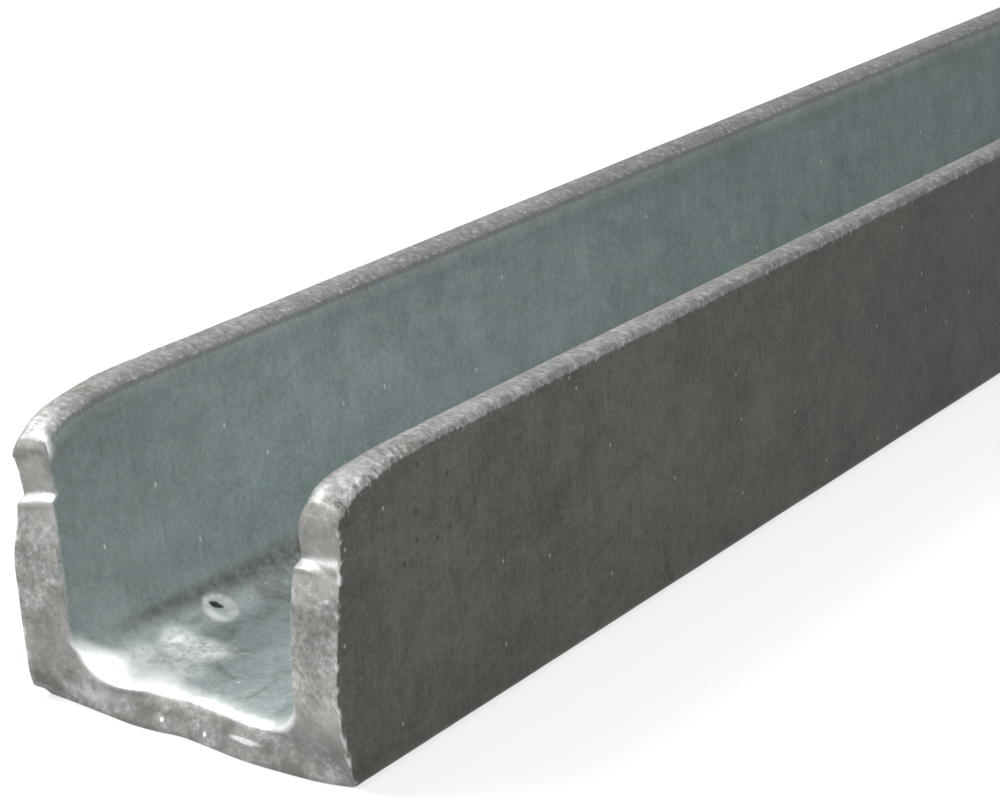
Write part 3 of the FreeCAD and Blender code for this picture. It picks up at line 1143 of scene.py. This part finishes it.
@dataclass(frozen=True)
class GalvanizedSteel:
    """Weathered hot-dip zinc, paler on the tips and grainy on the cut, with painted shade and painted
    reflection.

    Spans of heights and of distances back from the cut are in metres.
    """

    # Dark warm grey outside, pale blue-grey trough: partly weathering, partly painted shade and painted sky
    # reflection.
    outside: Place = (0.0560, 0.0568, 0.0475)
    trough: Place = (0.305, 0.350, 0.348)
    tip: Place = (0.172, 0.176, 0.168)
    cut: Place = (0.235, 0.235, 0.222)
    # Pale colour of real specks, frosted patches and scrapes, and of painted highlights and painted glints.
    pale_zinc_and_highlight: Place = (0.90, 0.91, 0.90)
    dark: Place = (0.060, 0.066, 0.058)
    # Dark green-grey of real stains on the floor and the cut, also used for painted shade at the root and in
    # the cut's creases.
    stain_and_shade: Place = (0.100, 0.104, 0.086)
    rust: Place = (0.112, 0.092, 0.076)
    frost: Place = (0.56, 0.57, 0.56)
    # Near-black painted shade inside the zinc pit's slot and in small pits.
    hole_shade: Place = (0.026, 0.022, 0.017)
    metallic: float = 0.55
    roughness: float = 0.46
    relief: float = 0.00012
    relief_strength: float = 0.8
    grit: Grain = Grain(900.0, 3.0, 0.68)
    cloud: Grain = Grain(60.0, 4.0, 0.6, 0.5)
    blotch: Grain = Grain(260.0, 3.0, 0.6, 0.6, (1.0, 0.8, 1.0))
    streak: Grain = Grain(1.0, 3.0, 0.6, 0.0, (300.0, 1700.0, 130.0))
    hatch: Grain = Grain(1.0, 2.0, 0.6, 0.0, (250.0, 3000.0, 110.0))
    powder: Grain = Grain(1500.0, 2.0, 0.75)
    mottle: Grain = Grain(620.0, 4.0, 0.68)
    fleck: Grain = Grain(1150.0, 3.0, 0.7)
    brown: Grain = Grain(130.0, 3.0)
    fold: Grain = Grain(1.0, 3.0, 0.65, 0.1)
    fold_turn: Place = (0.5, 0.0, 0.0)
    fold_scale: Place = (900.0, 1500.0, 800.0)
    crystal: Grain = Grain(1150.0, 4.0, 0.72)
    lump: Grain = Grain(260.0, 3.0, 0.6)
    cut_cloud: Grain = Grain(120.0, 2.0)
    drag: Grain = Grain(1.0, 3.0, 0.6, 0.0, (1500.0, 500.0, 330.0))
    pit_wobble: Grain = Grain(600.0, 3.0)
    brown_spot: Mark = Mark((-0.0224, 0.0102, 0.0375), (0.0013, 0.0017, 0.003), (1.2, 0.4))
    main_patch: Mark = Mark((-0.0098, 0.0130, 0.005), (0.0052, 0.0033, 0.004), (1.3, 0.45))
    side_patch: Mark = Mark((-0.0095, 0.0075, 0.005), (0.0062, 0.0032, 0.004), (1.3, 0.4))
    smear: Mark = Mark((-0.0160, 0.0025, 0.0), (0.0042, 0.0014, 1.0), (1.3, 0.3))
    scrape: Mark = Mark((0.0086, 0.0024, 0.0), (0.0023, 0.00032, 1.0), (1.4, 0.6))
    specks: Dots = Dots(130.0, 0.030, 0.62)
    pits: Dots = Dots(330.0, 0.125, 0.62)
    glints: Dots = Dots(420.0, 0.17, 0.80)
    wall_x: float = 0.0195
    wall_ragged: float = 0.0007
    top_span: Span = (0.0006, 0.0009)
    line_start: Span = (0.0003, 0.0006)
    line_end: Span = (0.0011, 0.0008)
    rounding_shade_span: Span = (-0.0004, 0.0002)
    far_back: Span = (0.045, 0.165)
    near_back: Span = (0.040, 0.0)
    tip_highlight_back: Span = (0.010, 0.002)
    brown_back: Span = (0.018, 0.030)
    root_shade_back: Span = (0.015, 0.035)
    pits_back: tuple[Span, Span] = ((0.004, 0.011), (0.030, 0.022))
    pits_height: Span = (0.016, 0.024)
    wall_height: Span = (0.010, 0.034)
    floor_height: Span = (0.0085, 0.0055)
    web_height: Span = (0.0065, 0.0035)
    coarse_height: tuple[Span, Span] = ((0.009, 0.013), (0.0262, 0.021))
    facet_height: Span = (0.029, 0.034)

    def make(self, pit: ZincPit, cut_y: float) -> bpy.types.Material:
        """Build the finish.

        Args:
            pit: The zinc pit, whose ring is coloured and whose slot gets painted shade.
            cut_y: Where the nominal cut lies along the bar, in metres.

        Returns:
            The material.
        """
        material = bpy.data.materials.new("weathered_zinc")
        material.use_nodes = True
        sheet = NodeSheet(material.node_tree)
        ground = Ground(sheet, cut_y)
        cut, burnish_and_highlight = ground.shares[Face.CUT], ground.shares[Face.BURNISH_AND_HIGHLIGHT]
        grit = ground.noise(self.grit)
        coat, coat_relief = self.coat(ground, pit, grit)
        face, face_relief = self.cut_face(ground)
        # Burnished places take the pale colour: a painted highlight over burnished zinc.
        colour = sheet.paint(coat, ((cut, face), ((burnish_and_highlight * (0.64 + 0.42 * grit)).clamped(), self.pale_zinc_and_highlight)))
        relief = coat_relief * (1.0 - cut) + face_relief * cut
        rough = self.roughness + 0.14 * grit - burnish_and_highlight * 0.2 + cut * 0.05
        normal = sheet.bump(relief, self.relief, self.relief_strength)
        shader = sheet.add("ShaderNodeBsdfPrincipled", {}, {
            "Base Color": colour, "Metallic": self.metallic, "Roughness": rough, "Normal": normal})
        sheet.finish("ShaderNodeOutputMaterial", shader)
        return material

    def coat(self, ground: Ground, pit: ZincPit, grit: Signal) -> tuple[Signal, Signal]:
        """Colour and relief of the rolled faces: runs, clouds, stains, specks and small dents.

        Args:
            ground: What the layers read.
            pit: The zinc pit.
            grit: Fine noise that breaks up the frosted places.

        Returns:
            The colour and the relief, where a relief of 1 is a full bump.
        """
        sheet, z, back = ground.sheet, ground.z, ground.back
        trough, tip, crumple = (ground.shares[face] for face in (Face.TROUGH, Face.TIP, Face.CRUMPLE))
        blotch, streak, hatch, powder, mottle, fleck = (ground.noise(grain) for grain in (
            self.blotch, self.streak, self.hatch, self.powder, self.mottle, self.fleck))
        lean = sheet.add("ShaderNodeMapping", {}, {
            "Vector": ground.place, "Rotation": self.fold_turn, "Scale": self.fold_scale})
        fold = sheet.noise(lean, self.fold)
        tip = (tip + (fold - 0.5) * 0.55).step(0.42, 0.62)
        past_wall = ground.x.size() - self.wall_x
        ragged = past_wall + (hatch - 0.5) * self.wall_ragged
        top = tip * ragged.step(*self.top_span)
        line = tip * ragged.step(*self.line_start) * ragged.step(*self.line_end)

        swing = (ground.noise(self.cloud) - 0.5) * 0.9 + (blotch - 0.5) + (streak - 0.5) * 0.6
        swing = swing + (powder - 0.5) * 1.3
        # The tips' inner rounding below the top, which painted shade darkens.
        rounding = trough * past_wall.step(*self.rounding_shade_span) * (1.0 - top)
        tone = 1.0 + swing * (1.02 - 0.49 * trough)
        for change in ((0.23 * trough - 0.36) * back.step(*self.far_back),
                       -0.26 * trough * back.step(*self.near_back),
                       trough * (0.05 - 0.17 * z.step(*self.wall_height)),
                       # Painted shade on each tip's inner rounding.
                       -0.34 * rounding,
                       # A painted highlight on the tip tops near the cut, with a ragged hatch.
                       top * (0.42 * back.step(*self.tip_highlight_back) + (hatch - 0.5) * 0.7)):
            tone = tone * (1.0 + change)
        # Base colours, partly painted: shade outside, a sky reflection in the trough; and the tip tops.
        colour = sheet.paint(self.outside, ((trough, self.trough), (top, self.tip)))
        colour = sheet.blend(1.0, colour, sheet.grey(tone), "MULTIPLY")

        brown = ground.noise(self.brown).step(0.56, 0.68)
        floor = trough * z.step(*self.floor_height)
        # Strength of the painted shade along the left root: mottled, and a little stronger away from the cut.
        root_shade_depth = (0.6 + 0.4 * mottle.step(0.35, 0.6)) * (0.9 + 0.1 * back.step(*self.root_shade_back))
        wall = sheet.add("ShaderNodeCombineXYZ", {}, {"X": ground.y, "Y": z * 0.6 + ground.x})
        specks = sheet.dots(wall, self.specks) * (1.0 - tip)
        pits = sheet.dots(wall, self.pits) * (1.0 - trough) * (1.0 - tip)
        pits_begin, pits_end = self.pits_back
        near_end = back.step(*pits_begin) * back.step(*pits_end) * z.step(*self.pits_height)
        ring, hole_shade = self.pit_marks(ground, pit)
        colour = sheet.paint(colour, (
            (top * fleck.step(0.50, 0.75) * 0.40, self.frost),
            (top * fleck.step(0.50, 0.28) * 0.38, self.dark),
            (top * brown * 0.35, self.rust),
            (ground.spot(self.brown_spot) * mottle.step(0.30, 0.55) * 0.6, self.rust),
            (line * 0.55, self.dark),
            # Painted shade along the left root.
            (ground.shares[Face.ROOT_SHADE] * root_shade_depth, self.stain_and_shade),
            (floor * blotch.step(0.50, 0.30) * 0.35, self.stain_and_shade),
            (floor * mottle.step(0.52, 0.72) * 0.35, self.frost),
            (floor * brown * mottle.step(0.42, 0.60) * back.step(*self.brown_back) * 0.6, self.rust),
            (crumple * fold.step(0.56, 0.72) * 0.7, self.frost),
            (crumple * fold.step(0.47, 0.34) * 0.8, self.dark),
            (specks * (0.18 + 0.37 * trough), self.pale_zinc_and_highlight),
            # Painted shade in small pits, most of them near the cut.
            (pits * (0.04 + 0.96 * near_end) * 0.85, self.hole_shade),
            (self.floor_patch(ground, grit) * trough, self.pale_zinc_and_highlight),
            (ring * (0.35 + 0.65 * mottle.step(0.35, 0.6)), self.frost),
            # Painted shade in the zinc pit's slot.
            (hole_shade, self.hole_shade)))
        relief = streak * 0.35 + powder * 0.4 + mottle * (0.25 + 0.7 * top) + crumple * fold * 2.2
        return colour, relief

    def cut_face(self, ground: Ground) -> tuple[Signal, Signal]:
        """Colour and relief of the cut: smooth grey above and below, grainy in the middle and on the web."""
        sheet, z = ground.sheet, ground.z
        crystal, lump, drag = (ground.noise(grain) for grain in (self.crystal, self.lump, self.drag))
        cloud = ground.noise(self.cut_cloud).step(0.3, 0.7)
        coarse_begin, coarse_end = self.coarse_height
        web = z.step(*self.web_height)
        coarse = (z.step(*coarse_begin) * z.step(*coarse_end) + web * lump.step(0.35, 0.65) * 0.8).clamped()
        tone = (0.62 + 0.76 * lump) * (0.80 + 0.40 * drag) * (0.84 + 0.32 * crystal) * (1.0 - 0.14 * web)
        tone = tone * (0.80 + 0.40 * cloud) * (1.0 - 0.12 * z.step(*self.facet_height))
        colour = sheet.blend(1.0, self.cut, sheet.grey(tone), "MULTIPLY")
        rough = 0.30 + 0.70 * coarse
        frosty = rough * (1.0 - 0.5 * web) * crystal.step(0.44, 0.70) * lump.step(0.34, 0.64)
        flat = sheet.add("ShaderNodeCombineXYZ", {}, {"X": ground.x, "Y": z})
        patchy = lump.step(0.35, 0.60)
        colour = sheet.paint(colour, (
            (frosty * (0.5 + 0.5 * cloud) * 0.85, self.frost),
            (rough * crystal.step(0.50, 0.32) * lump.step(0.72, 0.40) * 0.7, self.stain_and_shade),
            (web * lump.step(0.52, 0.38) * 0.65, self.stain_and_shade),
            (web * lump.step(0.56, 0.74) * crystal.step(0.40, 0.62) * 0.35, self.frost),
            (sheet.spot(flat, self.smear) * patchy * 0.45, self.frost),
            (sheet.spot(flat, self.scrape) * patchy * 0.5, self.pale_zinc_and_highlight),
            (sheet.dots(flat, self.glints) * coarse * lump.step(0.5, 0.62) * 0.8, self.pale_zinc_and_highlight),
            # Painted shade in the cut's creases and under its ledges.
            (ground.shares[Face.SHADE] * 0.75, self.stain_and_shade)))
        return colour, crystal * (0.5 + 1.6 * coarse) + drag * 0.35

    def floor_patch(self, ground: Ground, broken: Signal) -> Signal:
        """Frosted patches on the trough floor near the cut, broken up by the given noise."""
        main = ground.spot(self.main_patch) * (0.42 + 0.58 * broken.step(0.34, 0.60))
        side = ground.spot(self.side_patch) * (0.22 + 0.30 * broken.step(0.35, 0.62))
        return (main + side).clamped() * 0.95

    def pit_marks(self, ground: Ground, pit: ZincPit) -> tuple[Signal, Signal]:
        """The pale ring of the zinc pit, and painted shade in its slot."""
        sheet, place = ground.sheet, ground.place
        reach = [(pit.ring_radius + pit.ring_width) * MM] * 3
        shift = np.array([0.0, ground.cut_y, 0.0])
        wobble = ground.noise(self.pit_wobble)
        away = sheet.away(place, pit.centre() * MM + shift, reach) + wobble * 0.35
        ring = away.step(1.25, 1.0) * (0.28 + 0.72 * away.step(0.45, 0.95)) * 0.8
        centre = pit.hole_centre() * MM + shift
        along, across = (sheet.reach(place, centre, way) / (size * MM)
                         for way, size in zip(pit.directions(), (pit.hole_length, pit.hole_width)))
        slot = (along * along + across * across).power(0.5) + wobble * 0.2
        near = sheet.away(place, centre, reach).step(1.0, 0.9)
        return ring, slot.step(1.25, 0.85) * near


# -------------------------------------------------------------------------------------------- studio

@dataclass(frozen=True)
class SoftBox:
    """A square area lamp that faces the bar."""

    name: str
    azimuth: float
    elevation: float
    distance: float
    size: float
    watts: float

    def build(self, target: Vector) -> None:
        """Place the lamp round the target: azimuth turns from the sheared end's side towards +X."""
        azimuth, elevation = math.radians(self.azimuth), math.radians(self.elevation)
        direction = Vector((math.sin(azimuth) * math.cos(elevation), -math.cos(azimuth) * math.cos(elevation),
                            math.sin(elevation)))
        lamp = bpy.data.lights.new(self.name, "AREA")
        lamp.shape, lamp.size, lamp.energy = "SQUARE", self.size, self.watts
        obj = bpy.data.objects.new(self.name, lamp)
        obj.location = target + direction * self.distance
        obj.rotation_euler = direction.to_track_quat("Z", "Y").to_euler()
        bpy.context.scene.collection.objects.link(obj)


@dataclass(frozen=True)
class Studio:
    """A white floor, a pale world and a few soft lamps."""

    floor_reach: float = 6.0
    floor_colour: Place = (0.80, 0.80, 0.80)
    floor_glow: float = 0.72
    glow_span: Span = (0.5, 1.3)
    world_colour: Place = (0.97, 0.985, 1.0)
    world_strength: float = 0.42
    lamps: tuple[SoftBox, ...] = (
        SoftBox("key", -62.0, 50.0, 0.9, 0.42, 12.0),
        SoftBox("top", 150.0, 78.0, 1.2, 0.8, 6.0),
        SoftBox("fill", 62.0, 32.0, 0.75, 0.4, 2.6),
    )

    def build(self, target: Vector, floor_z: float) -> None:
        """Build the floor, the world and the lamps round the target."""
        half = self.floor_reach / 2
        corners = np.array([[x * half, y * half, floor_z] for x, y in ((-1, -1), (1, -1), (1, 1), (-1, 1))])
        floor = mesh_object("studio_floor", corners, np.array([[0, 1, 2, 3]]))
        floor.data.materials.append(self.floor_material())
        for lamp in self.lamps:
            lamp.build(target)
        self.build_world()
        LOG.info("studio: floor and %d lamps", len(self.lamps))

    def seen(self, sheet: NodeSheet) -> Signal:
        """1 for rays that come from the camera or off a glossy or clear surface."""
        def path(output: str) -> Signal:
            return sheet.add("ShaderNodeLightPath", {}, {}, output)

        return (path("Is Camera Ray") + path("Is Glossy Ray") + path("Is Transmission Ray")).clamped()

    def floor_material(self) -> bpy.types.Material:
        """Matt white that keeps the bar's shadow, lifted to white where it is seen."""
        material = bpy.data.materials.new("studio_white")
        material.use_nodes = True
        sheet = NodeSheet(material.node_tree)
        matt = sheet.add("ShaderNodeBsdfDiffuse", {}, {"Color": (*self.floor_colour, 1.0)})
        glow = sheet.add("ShaderNodeEmission", {}, {"Color": (1, 1, 1, 1), "Strength": 1.0})
        away = sheet.add("ShaderNodeVectorMath", {"operation": "LENGTH"}, {0: sheet.place()}, "Value")
        share = self.seen(sheet) * (self.floor_glow + (1.0 - self.floor_glow) * away.step(*self.glow_span))
        mixed = sheet.add("ShaderNodeMixShader", {}, {0: share, 1: matt, 2: glow})
        sheet.finish("ShaderNodeOutputMaterial", mixed)
        return material

    def build_world(self) -> None:
        """Even pale light all round, and plain white where it is seen."""
        world = bpy.data.worlds.new("studio_world")
        world.use_nodes = True
        sheet = NodeSheet(world.node_tree)
        strength = self.seen(sheet) * (1.0 - self.world_strength) + self.world_strength
        background = sheet.add("ShaderNodeBackground", {}, {
            "Color": (*self.world_colour, 1.0), "Strength": strength})
        sheet.finish("ShaderNodeOutputWorld", background)
        bpy.context.scene.world = world


@dataclass(frozen=True)
class Viewpoint:
    """A camera near the sheared end, looking down along the bar, in millimetres from the nominal cut."""

    x: float = 199.8
    y: float = -206.4
    z: float = 140.5
    azimuth: float = 36.37
    elevation: float = 19.22
    roll: float = -2.41
    lens: float = 96.05
    sensor: float = 36.0
    clip: Span = (0.01, 50.0)

    def build(self, cut_y: float) -> None:
        """Create the camera and make it the scene's."""
        camera = bpy.data.cameras.new("camera")
        camera.lens, camera.sensor_width = self.lens, self.sensor
        camera.clip_start, camera.clip_end = self.clip
        obj = bpy.data.objects.new("camera", camera)
        turn = (Matrix.Rotation(math.radians(self.azimuth), 4, "Z")
                @ Matrix.Rotation(math.radians(90 - self.elevation), 4, "X")
                @ Matrix.Rotation(math.radians(self.roll), 4, "Z"))
        obj.matrix_world = Matrix.Translation((self.x * MM, cut_y + self.y * MM, self.z * MM)) @ turn
        bpy.context.scene.collection.objects.link(obj)
        bpy.context.scene.camera = obj


# ---------------------------------------------------------------------------------------------- main


def main() -> None:
    """Build the bar's skin and its finish, then the studio and the camera."""
    logging.basicConfig(level=logging.INFO, format="%(name)s: %(message)s")
    low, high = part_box(NODE)
    skin = ChannelSkin(length_mm=(high.y - low.y) / MM)
    cut_y = low.y + skin.end.plane * MM
    bar = skin.build()
    bar.data.materials.append(GalvanizedSteel().make(skin.pit, cut_y))
    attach(bar, "root")
    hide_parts(NODE)
    near_end = Vector((0.0, cut_y + 0.03, 0.02))
    Studio().build(near_end, low.z)
    Viewpoint().build(cut_y)
    scene = bpy.context.scene
    scene.view_settings.view_transform = "Standard"
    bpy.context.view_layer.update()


if __name__ == "__main__":
    main()
